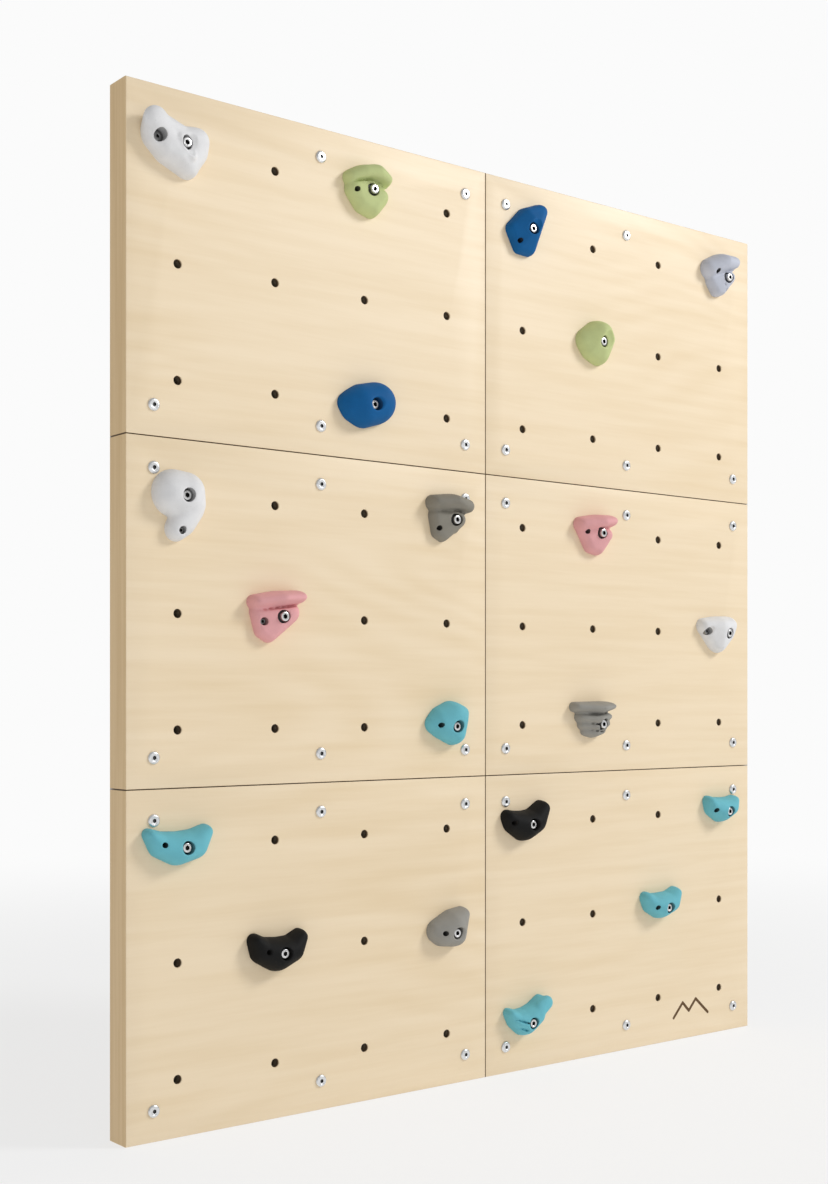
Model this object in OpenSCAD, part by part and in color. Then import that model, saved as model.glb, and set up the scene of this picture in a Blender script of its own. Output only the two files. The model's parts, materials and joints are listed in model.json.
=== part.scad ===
// Rock climbing wall for a home: six mitred plywood panels with threaded inserts,
// bolted to a wall, and twenty moulded holds that bolt into the inserts.
// X runs to the right, Y runs back into the wall, Z runs up.
// The origin is on the back plane, at the middle of the bottom edge.

/* [Panels] */
// Width of one panel module
panel_w = 600; // [560:10:700]
// Height of one panel module
panel_h = 450; // [430:10:540]
// Gap between neighbouring panels
seam = 0.6; // [0.2:0.2:2]
// Depth of a panel from the wall to its front face
panel_depth = 42; // [36:1:60]
// Thickness of the face board and of the edge boards
board_t = 18; // [12:1:21]
// Size of the eased front edges
ease = 1.5; // [0.5:0.5:3]
// Width of the two rails behind each face board
rail_w = 42; // [36:1:48]

/* [Threaded inserts] */
// Distance between neighbouring inserts
nut_pitch = 150; // [140:5:160]
// Diameter of the drilled hole for an insert
nut_hole_d = 12; // [11.5:0.1:14]
// Length of the insert's barrel
nut_barrel = 13; // [9:1:15]
// Diameter of the insert's flange
nut_flange_d = 25; // [20:1:26]
// Thickness of the insert's flange
nut_flange_t = 2; // [1.5:0.5:2.5]
// Diameter of the threaded bore, measured over the tips of an M10 thread
nut_bore_d = 8.5; // [8.4:0.1:8.8]

/* [Fixing bolts] */
// Distance of a fixing bolt from the nearest side of its panel
fixing_inset = 40; // [38:1:42]
// Diameter of a fixing bolt's flat head
fixing_head_d = 17; // [14:1:20]
// Height of a fixing bolt's head
fixing_head_h = 3; // [2:0.5:4]
// Diameter of a fixing bolt's shank
fixing_d = 8; // [6:1:8]
// Length of a fixing bolt under its head
fixing_length = 90; // [70:5:110]

/* [Hold bolts] */
// Diameter of a hold bolt's shank
bolt_d = 10; // [9:0.5:10]
// Diameter of a hold bolt's cap head
bolt_head_d = 13; // [12:0.5:15]
// Height of a hold bolt's cap head
bolt_head_h = 9; // [7:1:10]
// Diameter of the washer under the cap head
washer_d = 17; // [15:0.5:17.2]
// Thickness of the washer
washer_t = 2; // [1:0.5:2.5]
// Diameter of the recess that the head and the washer sit in
recess_d = 18; // [17.6:0.1:20]

/* [Holds] */
// Depth of the hold's material under the washer
seat = 14; // [12:1:16]
// Gap between a hold's back and the face board, for a hold that can be turned
hold_gap = 0.3; // [0.2:0.1:0.5]
// Diameter of the hole for an anti-turn screw
anti_turn_d = 5.6; // [5:0.1:6]
// Diameter of the recess over an anti-turn hole that has no screw
anti_turn_recess_d = 9; // [8:0.5:10]

/* [Hidden] */
cols = 2;
rows = 3;
nut_cols = 4;
nut_rows = 3;
smooth = 48;
lobe_sides = 24;

board_clear = seam / 2;
nut_margin_x = (panel_w - (nut_cols - 1) * nut_pitch) / 2;
nut_margin_z = (panel_h - (nut_rows - 1) * nut_pitch) / 2;
nut_barrel_r = nut_hole_d / 2 - 0.1;
fixing_xs = [fixing_inset, panel_w / 2, panel_w - fixing_inset];
fixing_zs = [fixing_inset, panel_h - fixing_inset];
fixing_hole_r = fixing_d / 2 + 0.2;
fixing_shank_r = fixing_d / 2 - 0.4;
thread_r = nut_bore_d / 2 - 0.05;
bolt_past_nut = 4;
anti_turn_r = anti_turn_d / 2 - 0.3;
anti_turn_seat = 7;
anti_turn_in_board = 14;
front = -panel_depth;
cut = 0.5;

// Which insert each hold is bolted to: panel column, panel row (0 is the top),
// insert column, insert row (0 is the top)
AT_WHITE_SADDLE = [0, 0, 0, 0];
AT_GREEN_BROW = [0, 0, 2, 0];
AT_BLUE_EGG = [0, 0, 2, 2];
AT_BLUE_PEBBLE = [1, 0, 0, 0];
AT_GREEN_DOME = [1, 0, 1, 1];
AT_LIGHT_GREY_CAP = [1, 0, 3, 0];
AT_WHITE_PEAR = [0, 1, 0, 0];
AT_PINK_LEDGE = [0, 1, 1, 1];
AT_DARK_GREY_LEDGE = [0, 1, 3, 0];
AT_TEAL_EGG = [0, 1, 3, 2];
AT_PINK_WEDGE = [1, 1, 1, 0];
AT_WHITE_TRIANGLE = [1, 1, 3, 1];
AT_GREY_RIBBED_BOWL = [1, 1, 1, 2];
AT_TEAL_CRESCENT_LEFT = [0, 2, 0, 0];
AT_BLACK_CRESCENT_LEFT = [0, 2, 1, 1];
AT_GREY_TEARDROP = [0, 2, 3, 1];
AT_BLACK_CRESCENT_RIGHT = [1, 2, 0, 0];
AT_TEAL_CRESCENT_EDGE = [1, 2, 3, 0];
AT_TEAL_CRESCENT_LOW = [1, 2, 2, 1];
AT_TEAL_RIBBED_CRESCENT = [1, 2, 0, 2];

HOLD_PLACES = [
    AT_WHITE_SADDLE, AT_GREEN_BROW, AT_BLUE_EGG, AT_BLUE_PEBBLE, AT_GREEN_DOME,
    AT_LIGHT_GREY_CAP, AT_WHITE_PEAR, AT_PINK_LEDGE, AT_DARK_GREY_LEDGE, AT_TEAL_EGG,
    AT_PINK_WEDGE, AT_WHITE_TRIANGLE, AT_GREY_RIBBED_BOWL, AT_TEAL_CRESCENT_LEFT,
    AT_BLACK_CRESCENT_LEFT, AT_GREY_TEARDROP, AT_BLACK_CRESCENT_RIGHT,
    AT_TEAL_CRESCENT_EDGE, AT_TEAL_CRESCENT_LOW, AT_TEAL_RIBBED_CRESCENT
];

// Holds with a fitted anti-turn screw: the hold's insert, the screw's place from the
// hold bolt (X, Z), the diameter of its head and the depth of material under the head
SADDLE_SCREW = [AT_WHITE_SADDLE, [-38, 2], 14, 12];
PEAR_SCREW = [AT_WHITE_PEAR, [-2, -44], 8.5, 8];
LEDGE_SCREW = [AT_PINK_LEDGE, [-27, -7], 9, 7];
TRIANGLE_SCREW = [AT_WHITE_TRIANGLE, [-44, 3], 11, 8];
FITTED_SCREWS = [SADDLE_SCREW, PEAR_SCREW, LEDGE_SCREW, TRIANGLE_SCREW];

// ---- Places ----

function panel_corner(col, row) =
    [(col - cols / 2) * panel_w, 0, (rows - 1 - row) * panel_h];

function insert_place(at) =
    panel_corner(at[0], at[1]) + [
        nut_margin_x + at[2] * nut_pitch,
        front,
        panel_h - nut_margin_z - at[3] * nut_pitch
    ];

function screw_place(screw) = insert_place(screw[0]) + [screw[1][0], 0, screw[1][1]];

// Turns a shape made along +Z so that it runs out of the front face
module facing_out() rotate([90, 0, 0]) children();

// A round bar between two distances out from the local plane
module bar(r, from, to) translate([0, -from, 0]) facing_out() cylinder(r=r, h=to - from, $fn=smooth);

module hex_socket(across, depth, top)
    translate([0, -(top - depth), 0])
        facing_out() cylinder(r=across / sqrt(3), h=depth + cut, $fn=6);

// ---- Panels ----

module face_profile(size)
    polygon([
        [front, board_clear + ease],
        [front + ease / 2, board_clear + ease / 2],
        [front + board_t, board_clear + board_t],
        [front + board_t, size - board_clear - board_t],
        [front + ease / 2, size - board_clear - ease / 2],
        [front, size - board_clear - ease]
    ]);

// The face board is cut to 45 degrees on all four sides
module face_blank()
    intersection() {
        rotate([90, 0, 90]) linear_extrude(panel_w) face_profile(panel_h);
        linear_extrude(panel_h) mirror([1, -1]) face_profile(panel_w);
    }

module fixing_places()
    for (x = fixing_xs, z = fixing_zs)
        translate([x, front, z]) children();

module insert_places()
    for (i = [0:nut_cols - 1], j = [0:nut_rows - 1])
        translate([nut_margin_x + i * nut_pitch, front, nut_margin_z + j * nut_pitch]) children();

module face_board(col, row)
    color("BlanchedAlmond")
        difference() {
            translate(panel_corner(col, row))
                difference() {
                    face_blank();
                    fixing_places() bar(fixing_hole_r, -board_t - cut, cut);
                    insert_places() bar(nut_hole_d / 2, -board_t - cut, cut);
                }
            for (s = FITTED_SCREWS)
                if (s[0][0] == col && s[0][1] == row)
                    translate(screw_place(s)) bar(anti_turn_r + 0.1, -board_t - cut, cut);
        }

// One edge board, with its long side along +X and its outer face down
module edge_board(length)
    intersection() {
        rotate([90, 0, 90]) linear_extrude(length)
            polygon([
                [0, board_clear],
                [front + ease, board_clear],
                [front + ease / 2, board_clear + ease / 2],
                [front + board_t, board_clear + board_t],
                [0, board_clear + board_t]
            ]);
        facing_out() linear_extrude(panel_depth)
            polygon([
                [board_clear, board_clear],
                [length - board_clear, board_clear],
                [length - board_clear - board_t, board_clear + board_t],
                [board_clear + board_t, board_clear + board_t]
            ]);
    }

module edge_boards(col, row)
    color("Tan")
        translate(panel_corner(col, row)) {
            edge_board(panel_w);
            translate([panel_w, 0, panel_h]) rotate([0, 180, 0]) edge_board(panel_w);
            translate([0, 0, panel_h]) rotate([0, 90, 0]) edge_board(panel_h);
            translate([panel_w, 0, 0]) rotate([0, -90, 0]) edge_board(panel_h);
        }

module rails(col, row)
    color("BurlyWood")
        translate(panel_corner(col, row)) {
            inner = board_clear + board_t;
            difference() {
                for (z = [inner, panel_h - inner - rail_w])
                    translate([inner, front + board_t, z])
                        cube([panel_w - 2 * inner, panel_depth - board_t, rail_w]);
                fixing_places() bar(fixing_hole_r, -panel_depth - cut, -board_t + cut);
            }
        }

// ---- Hardware ----

// A hammer-in threaded insert: barrel in the board, flange on its back, four prongs
module t_nut() {
    back = -board_t;
    prong = [1.5, 8, 3];
    difference() {
        union() {
            bar(nut_barrel_r, back, back + nut_barrel);
            bar(nut_flange_d / 2, back - nut_flange_t, back);
        }
        bar(nut_bore_d / 2, back - nut_flange_t - cut, back + nut_barrel + cut);
    }
    for (a = [45:90:315])
        rotate([0, a, 0])
            translate([nut_flange_d / 2 - prong[0] - 0.5, -back - prong[1], -prong[2] / 2])
                cube([prong[0], prong[1] + nut_flange_t / 2, prong[2]]);
}

module t_nuts(col, row)
    color("LightSteelBlue")
        translate(panel_corner(col, row)) insert_places() t_nut();

// A flat-headed bolt through the face board and the rail, into the wall behind
module fixing_bolt() {
    point = 5;
    crown = fixing_head_h / 2;
    difference() {
        union() {
            bar(fixing_head_d / 2, 0, fixing_head_h - crown);
            translate([0, -(fixing_head_h - crown), 0]) facing_out()
                cylinder(r1=fixing_head_d / 2, r2=fixing_head_d / 2 - crown, h=crown, $fn=smooth);
            bar(fixing_shank_r, -panel_depth, 0);
            bar(fixing_d / 2, -(fixing_length - point), -panel_depth);
            translate([0, fixing_length - point, 0]) rotate([-90, 0, 0])
                cylinder(r1=fixing_d / 2, r2=1, h=point, $fn=smooth);
        }
        hex_socket(5, 2.5, fixing_head_h);
    }
}

module fixing_bolts()
    color("Silver")
        for (col = [0:cols - 1], row = [0:rows - 1])
            translate(panel_corner(col, row)) fixing_places() fixing_bolt();

module hold_bolt() {
    under_head = seat + washer_t;
    top = under_head + bolt_head_h;
    difference() {
        union() {
            bar(bolt_head_d / 2, under_head, top - 1);
            translate([0, -(top - 1), 0]) facing_out()
                cylinder(r1=bolt_head_d / 2, r2=bolt_head_d / 2 - 1, h=1, $fn=smooth);
            bar(bolt_d / 2, 0, under_head);
            bar(thread_r, -board_t - nut_flange_t - bolt_past_nut, 0);
        }
        hex_socket(6, 4, top);
    }
}

module hold_bolts()
    color("LightGrey")
        for (at = HOLD_PLACES) translate(insert_place(at)) hold_bolt();

module hold_washers()
    color("Silver")
        for (at = HOLD_PLACES)
            translate(insert_place(at))
                difference() {
                    bar(washer_d / 2, seat + 0.1, seat + washer_t);
                    bar(bolt_d / 2 + 0.2, seat - cut, seat + washer_t + cut);
                }

module anti_turn_screw(head_d, under_head) {
    head_h = 4;
    difference() {
        union() {
            bar(head_d / 2, under_head, under_head + head_h);
            bar(anti_turn_r, -anti_turn_in_board, under_head);
        }
        hex_socket(4, 2.5, under_head + head_h);
    }
}

module anti_turn_screws()
    color("DarkGray")
        for (s = FITTED_SCREWS) translate(screw_place(s)) anti_turn_screw(s[2], s[3]);

// ---- Holds ----
// A hold is drawn with its bolt at the origin and its back on the face board.
// lobe() is a half egg on the board: its place (X, Z), its radius and its height.

module lobe(x, z, r, height, lift=0)
    translate([x, -lift, z]) scale([1, height / r, 1]) sphere(r=r, $fn=lobe_sides);

// The children are the hold's body. second is [place of the anti-turn hole, diameter
// of the recess over it, depth of material under the recess], or nothing.
module hold(at, colour, second=[], gap=hold_gap)
    color(colour)
        translate(insert_place(at))
            difference() {
                intersection() {
                    union() children();
                    translate([-100, -100 - gap, -100]) cube([200, 100, 200]);
                }
                bar(bolt_d / 2 + 0.5, -cut, seat + cut);
                bar(recess_d / 2, seat, 80);
                if (len(second) > 0)
                    translate([second[0][0], 0, second[0][1]]) {
                        bar(anti_turn_d / 2, -cut, second[2] + cut);
                        bar(second[1] / 2, second[2], 80);
                    }
            }

// An anti-turn hole with a screw in it, and one without
function screwed(screw) = [screw[1], screw[2] + 3, screw[3]];
function empty_hole(x, z) = [[x, z], anti_turn_recess_d, anti_turn_seat];

module hold_white_saddle()
    hold(AT_WHITE_SADDLE, "White", screwed(SADDLE_SCREW), gap=0) {
        hull() {
            lobe(-39, 17, 14, 13, lift=20);
            lobe(-37, 2, 15, 24);
            lobe(-6, -10, 18, 26);
            lobe(11, -23, 17, 22);
        }
        hull() { lobe(22, 8, 21, 28); lobe(10, -23, 17, 22); }
        hull() { lobe(-8, 14, 11, 36); lobe(8, -16, 12, 30); }
    }

module hold_green_brow()
    hold(AT_GREEN_BROW, "DarkKhaki", empty_hole(-25, -3)) {
        hull() { lobe(-23, 10, 14, 24); lobe(0, 23, 16, 36); lobe(25, 13, 12, 30); }
        hull() { lobe(-18, 0, 16, 20); lobe(7, -20, 15, 22); lobe(19, -3, 13, 25); }
    }

module hold_blue_egg()
    hold(AT_BLUE_EGG, "RoyalBlue") {
        hull() { lobe(-36, 0, 12, 14); lobe(-6, 0, 31, 33); lobe(16, 6, 30, 34); }
    }

module hold_blue_pebble()
    hold(AT_BLUE_PEBBLE, "RoyalBlue", empty_hole(-18, -19)) {
        hull() {
            lobe(-26, -4, 8, 16);
            lobe(-13, -28, 8, 14);
            lobe(9, -29, 8, 16);
            lobe(31, 37, 10, 20);
            lobe(-11, 25, 9, 20);
            lobe(6, 4, 15, 34);
        }
    }

module hold_green_dome()
    hold(AT_GREEN_DOME, "DarkKhaki") {
        hull() { lobe(-18, 2, 21, 22); lobe(2, 12, 23, 36); lobe(1, -14, 20, 24); lobe(14, 4, 18, 30); }
    }

module hold_light_grey_cap()
    hold(AT_LIGHT_GREY_CAP, "LightSteelBlue", empty_hole(-27, 7)) {
        hull() {
            lobe(-30, 12, 18, 26);
            lobe(-9, 24, 17, 36);
            lobe(19, 27, 10, 15, lift=17);
            lobe(12, 19, 10, 20);
        }
        hull() { lobe(-22, -8, 12, 16); lobe(-8, -20, 10, 18); lobe(8, 2, 14, 26); }
    }

module hold_white_pear()
    hold(AT_WHITE_PEAR, "White", screwed(PEAR_SCREW), gap=0) {
        hull() { lobe(-6, 0, 34, 32); lobe(10, 2, 28, 30); }
        hull() { lobe(12, -16, 22, 26); lobe(-4, -40, 17, 19); }
    }

module hold_pink_ledge()
    hold(AT_PINK_LEDGE, "RosyBrown", screwed(LEDGE_SCREW), gap=0) {
        hull() { lobe(-36, 17, 10, 26); lobe(-4, 23, 12, 38); lobe(27, 27, 10, 34); }
        hull() { lobe(-32, 6, 10, 16); lobe(-15, -24, 11, 18); lobe(15, 6, 17, 27); }
    }

module hold_dark_grey_ledge()
    hold(AT_DARK_GREY_LEDGE, "Gray", empty_hole(-25, -13)) {
        hull() {
            lobe(-29, 24, 12, 26);
            lobe(-4, 27, 13, 38);
            lobe(22, 21, 11, 15, lift=17);
            lobe(16, 18, 11, 26);
        }
        hull() { lobe(-25, 6, 10, 18); lobe(-16, -21, 10, 16); lobe(9, 1, 15, 27); }
    }

module hold_teal_egg()
    hold(AT_TEAL_EGG, "CadetBlue", empty_hole(-27, 2)) {
        hull() { lobe(-26, 4, 14, 18); lobe(-4, 8, 30, 32); lobe(25, 18, 12, 18); lobe(8, -12, 16, 26); }
    }

module hold_pink_wedge()
    hold(AT_PINK_WEDGE, "RosyBrown", empty_hole(-27, 1)) {
        hull() { lobe(-32, 14, 12, 24); lobe(-4, 17, 13, 38); lobe(22, 20, 10, 32); }
        hull() { lobe(-24, 6, 12, 18); lobe(3, -23, 12, 18); lobe(13, 2, 14, 27); }
    }

module hold_white_triangle()
    hold(AT_WHITE_TRIANGLE, "White", screwed(TRIANGLE_SCREW), gap=0) {
        hull() { lobe(-45, 12, 13, 20); lobe(-16, 11, 18, 30); lobe(11, 12, 16, 26); lobe(-13, -20, 14, 20); }
    }

module hold_grey_ribbed_bowl()
    hold(AT_GREY_RIBBED_BOWL, "Gray") {
        hull() { lobe(-42, 28, 7, 20); lobe(-5, 24, 10, 38); lobe(18, 28, 7, 34); }
        hull() { lobe(-34, 10, 8, 18); lobe(-6, 6, 14, 34); lobe(15, 12, 9, 26); }
        hull() { lobe(-26, -3, 8, 14); lobe(-9, -10, 12, 24); lobe(8, -5, 12, 26); }
    }

// A crescent has a hollow top edge between two raised ends
module crescent(left, right, belly_left, belly_right)
    for (tip = [left, right])
        hull()
            for (l = [tip, belly_left, belly_right]) lobe(l[0], l[1], l[2], l[3]);

module hold_teal_crescent_left()
    hold(AT_TEAL_CRESCENT_LEFT, "CadetBlue", empty_hole(-31, 5))
        crescent([-41, 16, 8, 22], [29, 22, 9, 24], [-16, 0, 20, 28], [10, -1, 21, 32]);

module hold_black_crescent_left()
    hold(AT_BLACK_CRESCENT_LEFT, "Black", empty_hole(-25, 4))
        crescent([-35, 18, 9, 22], [31, 21, 9, 24], [-14, -1, 21, 28], [11, -3, 21, 32]);

module hold_grey_teardrop()
    hold(AT_GREY_TEARDROP, "Gray", empty_hole(-21, 1)) {
        hull() { lobe(-20, 2, 18, 22); lobe(-6, 4, 27, 33); lobe(26, 26, 8, 20); lobe(7, -6, 17, 28); }
    }

module hold_black_crescent_right()
    hold(AT_BLACK_CRESCENT_RIGHT, "Black", empty_hole(-34, 4))
        crescent([-34, 11, 11, 22], [32, 23, 11, 25], [-14, -2, 22, 28], [9, -4, 23, 32]);

module hold_teal_crescent_edge()
    hold(AT_TEAL_CRESCENT_EDGE, "CadetBlue", empty_hole(-29, 3))
        crescent([-33, 17, 9, 22], [22, 22, 8, 22], [-13, 1, 20, 27], [6, 0, 20, 31]);

module hold_teal_crescent_low()
    hold(AT_TEAL_CRESCENT_LOW, "CadetBlue", empty_hole(-25, 2))
        crescent([-33, 16, 10, 22], [29, 22, 9, 23], [-14, 2, 20, 28], [8, 0, 21, 32]);

module hold_teal_ribbed_crescent()
    hold(AT_TEAL_RIBBED_CRESCENT, "CadetBlue")
        crescent([-28, 17, 7, 24], [30, 29, 10, 22], [-12, 2, 19, 26], [7, -2, 20, 32]);

// ---- What is drawn ----

face_board(0, 0);  // face_board_top_left
face_board(1, 0);  // face_board_top_right
face_board(0, 1);  // face_board_middle_left
face_board(1, 1);  // face_board_middle_right
face_board(0, 2);  // face_board_bottom_left
face_board(1, 2);  // face_board_bottom_right
edge_boards(0, 0);  // edge_boards_top_left
edge_boards(1, 0);  // edge_boards_top_right
edge_boards(0, 1);  // edge_boards_middle_left
edge_boards(1, 1);  // edge_boards_middle_right
edge_boards(0, 2);  // edge_boards_bottom_left
edge_boards(1, 2);  // edge_boards_bottom_right
rails(0, 0);  // rails_top_left
rails(1, 0);  // rails_top_right
rails(0, 1);  // rails_middle_left
rails(1, 1);  // rails_middle_right
rails(0, 2);  // rails_bottom_left
rails(1, 2);  // rails_bottom_right
t_nuts(0, 0);  // t_nuts_top_left
t_nuts(1, 0);  // t_nuts_top_right
t_nuts(0, 1);  // t_nuts_middle_left
t_nuts(1, 1);  // t_nuts_middle_right
t_nuts(0, 2);  // t_nuts_bottom_left
t_nuts(1, 2);  // t_nuts_bottom_right
fixing_bolts();
hold_bolts();
hold_washers();
anti_turn_screws();
hold_white_saddle();
hold_green_brow();
hold_blue_egg();
hold_blue_pebble();
hold_green_dome();
hold_light_grey_cap();
hold_white_pear();
hold_pink_ledge();
hold_dark_grey_ledge();
hold_teal_egg();
hold_pink_wedge();
hold_white_triangle();
hold_grey_ribbed_bowl();
hold_teal_crescent_left();
hold_black_crescent_left();
hold_grey_teardrop();
hold_black_crescent_right();
hold_teal_crescent_edge();
hold_teal_crescent_low();
hold_teal_ribbed_crescent();
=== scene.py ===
"""The looks of a rock climbing wall: its panels, hardware and holds, made around the
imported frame. A piece is modelled in millimetres about its own origin, with the board's
front face at Y = 0 and -Y running out of the wall, and is then set in place in metres."""

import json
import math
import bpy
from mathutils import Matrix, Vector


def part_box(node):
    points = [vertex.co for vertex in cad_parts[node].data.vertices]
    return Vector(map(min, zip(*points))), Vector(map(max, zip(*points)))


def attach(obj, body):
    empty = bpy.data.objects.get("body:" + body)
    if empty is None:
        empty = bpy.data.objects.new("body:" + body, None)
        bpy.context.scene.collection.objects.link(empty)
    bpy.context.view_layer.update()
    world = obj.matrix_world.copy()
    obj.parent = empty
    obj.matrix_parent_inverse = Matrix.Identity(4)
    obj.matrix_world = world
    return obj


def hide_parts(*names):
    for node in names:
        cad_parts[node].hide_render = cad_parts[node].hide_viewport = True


bl_info = {
    "name": "Rock Climbing Wall",
    "version": (1, 0, 0),
    "blender": (4, 5, 0),
    "location": "View3D > Sidebar > Climbing Wall",
    "description": "Builds a panelled climbing wall with threaded inserts and bolt-on holds",
    "category": "Add Mesh",
}

import bmesh
import bpy
from bpy.props import FloatProperty, FloatVectorProperty, IntProperty, PointerProperty
from mathutils import Vector

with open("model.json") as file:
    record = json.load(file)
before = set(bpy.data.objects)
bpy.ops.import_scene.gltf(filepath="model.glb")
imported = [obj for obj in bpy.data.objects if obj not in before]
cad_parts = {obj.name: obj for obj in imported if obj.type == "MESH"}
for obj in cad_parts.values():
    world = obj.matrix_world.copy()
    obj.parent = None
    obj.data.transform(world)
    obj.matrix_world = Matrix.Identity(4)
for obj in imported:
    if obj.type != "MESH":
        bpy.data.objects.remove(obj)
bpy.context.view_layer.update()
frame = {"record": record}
MM = 0.001

ROWS = ("top", "middle", "bottom")
COLUMNS = ("left", "right")
PANELS = [f"{row}_{column}" for row in ROWS for column in COLUMNS]
BODY_OF = {
    node: body
    for body, nodes in frame["record"]["behaviour"]["bodies"].items()
    for node in nodes
}

# The panel module and its board, read from the frame
FIRST_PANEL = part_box("edge_boards_bottom_left")
NEXT_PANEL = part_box("edge_boards_bottom_right")
UPPER_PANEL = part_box("edge_boards_middle_left")
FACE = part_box("face_board_bottom_left")
PANEL_W = (NEXT_PANEL[0].x - FIRST_PANEL[0].x) / MM
PANEL_H = (UPPER_PANEL[0].z - FIRST_PANEL[0].z) / MM
CLEAR = (NEXT_PANEL[0].x - FIRST_PANEL[1].x) / MM / 2
BOARD_T = (FACE[1].y - FACE[0].y) / MM
DEPTH = -FACE[0].y / MM


# ---- Sizes and colours that a user would change ----


def length(name, description, millimetres):
    return FloatProperty(
        name=name, description=description, default=millimetres * MM, unit="LENGTH", precision=4
    )


def colour(name, description, red, green, blue):
    """A colour given as it shows on a screen, in steps of 1 in 255."""
    return FloatVectorProperty(
        name=name,
        description=description,
        default=(red / 255, green / 255, blue / 255),
        subtype="COLOR_GAMMA",
        min=0,
        max=1,
    )


class ClimbingWallSizes(bpy.types.PropertyGroup):
    arris: length("Arris", "Radius of the eased front edges", 1.5)
    insert_pitch: length("Insert Pitch", "Distance between neighbouring inserts", 150)
    insert_margin: length("Insert Margin", "Distance from an insert to the panel's edge", 75)
    insert_hole: length("Insert Hole", "Radius of the hole drilled for an insert", 6)
    insert_bore: length("Insert Bore", "Radius of the insert's thread, at its tips", 4.25)
    barrel: length("Barrel", "Length of the insert's barrel", 13)
    flange: length("Flange", "Radius of the insert's flange", 12.5)
    flange_t: length("Flange Thickness", "Thickness of the insert's flange", 2)
    fixing_inset: length("Fixing Inset", "Distance from a fixing bolt to the panel's edge", 40)
    fixing_head: length("Fixing Head", "Radius of a fixing bolt's head", 8.5)
    fixing_head_h: length("Fixing Head Height", "Height of a fixing bolt's head", 3)
    fixing_shank: length("Fixing Shank", "Radius of a fixing bolt's shank", 4)
    fixing_length: length("Fixing Length", "Length of a fixing bolt under its head", 90)
    bolt: length("Hold Bolt", "Radius of a hold bolt's shank", 5)
    bolt_head: length("Bolt Head", "Radius of a hold bolt's cap head", 6.5)
    bolt_head_h: length("Bolt Head Height", "Height of a hold bolt's cap head", 9)
    washer: length("Washer", "Radius of a hold bolt's washer", 8.5)
    washer_t: length("Washer Thickness", "Thickness of a hold bolt's washer", 2)
    rail: length("Rail", "Width of the rails behind the face boards", 42)


class ClimbingHoldSizes(bpy.types.PropertyGroup):
    seat: length("Seat", "Depth of resin under the washer", 14)
    recess: length("Recess", "Radius of the recess for the bolt's head", 9)
    bore: length("Bore", "Radius of the hole for the bolt", 5.5)
    gap: length("Gap", "Gap behind a hold that can be turned", 0.3)
    anti_turn: length("Anti-turn Hole", "Radius of the hole for an anti-turn screw", 2.8)
    grain: length("Mesh Grain", "Edge length of a hold's mesh", 1.3)
    softening: IntProperty(
        name="Softening", description="Passes that round the moulded edges", default=7, min=1, max=30
    )


class ClimbingWallColours(bpy.types.PropertyGroup):
    birch: colour("Birch", "Pale early wood of the face boards", 240, 221, 190)
    birch_figure: colour("Birch Figure", "Darker figure of the face boards", 226, 202, 162)
    # The edge colours are warmer and darker than the birch: the warmth is the boards' own, and part of the
    # darkening is painted shade of the sides facing away from the key light
    edge: colour("Edge", "Edge boards", 230, 202, 158)
    edge_figure: colour("Edge Figure", "Darker grain of the edge boards", 210, 178, 130)
    pine: colour("Pine", "Early wood of the rails", 233, 205, 156)
    pine_figure: colour("Pine Figure", "Late wood of the rails", 206, 160, 98)
    # A painted shade colour, for the walls of the drilled holes and the joints between panels
    wood_shade: colour("Drilled", "Walls of the drilled holes and of the joints", 80, 55, 29)
    burnt: colour("Burnt", "Burnt wood of the engraved mark", 92, 66, 34)
    hold_white: colour("White", "White holds", 226, 226, 227)
    hold_green: colour("Green", "Green holds", 194, 204, 144)
    hold_blue: colour("Blue", "Blue holds", 2, 90, 150)
    hold_light_grey: colour("Light Grey", "Light grey holds", 192, 196, 208)
    hold_pink: colour("Pink", "Pink holds", 226, 166, 168)
    hold_dark_grey: colour("Dark Grey", "Dark grey holds", 138, 134, 124)
    hold_grey: colour("Grey", "Grey holds", 152, 150, 144)
    hold_teal: colour("Teal", "Teal holds", 108, 186, 200)
    hold_black: colour("Black", "Black holds", 12, 12, 12)


def mm(metres):
    return metres / MM


# ---- Bench tools: each is one step of making by hand ----


def activate(piece):
    bpy.ops.object.select_all(action="DESELECT")
    piece.select_set(True)
    bpy.context.view_layer.objects.active = piece


def apply_place(piece):
    activate(piece)
    bpy.ops.object.transform_apply(location=True, rotation=True, scale=True)
    return piece


def put(piece, place=(0, 0, 0), turn=0.0):
    """Turns a piece about Y, in radians, and sets it at a place."""
    piece.rotation_euler = (0, turn, 0)
    piece.location = place
    return apply_place(piece)


def block(low, high):
    """A sawn block between two corners."""
    low, high = Vector(low), Vector(high)
    bpy.ops.mesh.primitive_cube_add(size=1, location=(low + high) / 2, scale=high - low)
    return apply_place(bpy.context.object)


def saw(piece, point, outward):
    """Saws off what lies beyond a plane, and closes the cut."""
    activate(piece)
    bpy.ops.object.mode_set(mode="EDIT")
    bpy.ops.mesh.select_all(action="SELECT")
    bpy.ops.mesh.bisect(plane_co=point, plane_no=outward, use_fill=True, clear_outer=True)
    bpy.ops.object.mode_set(mode="OBJECT")


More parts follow.
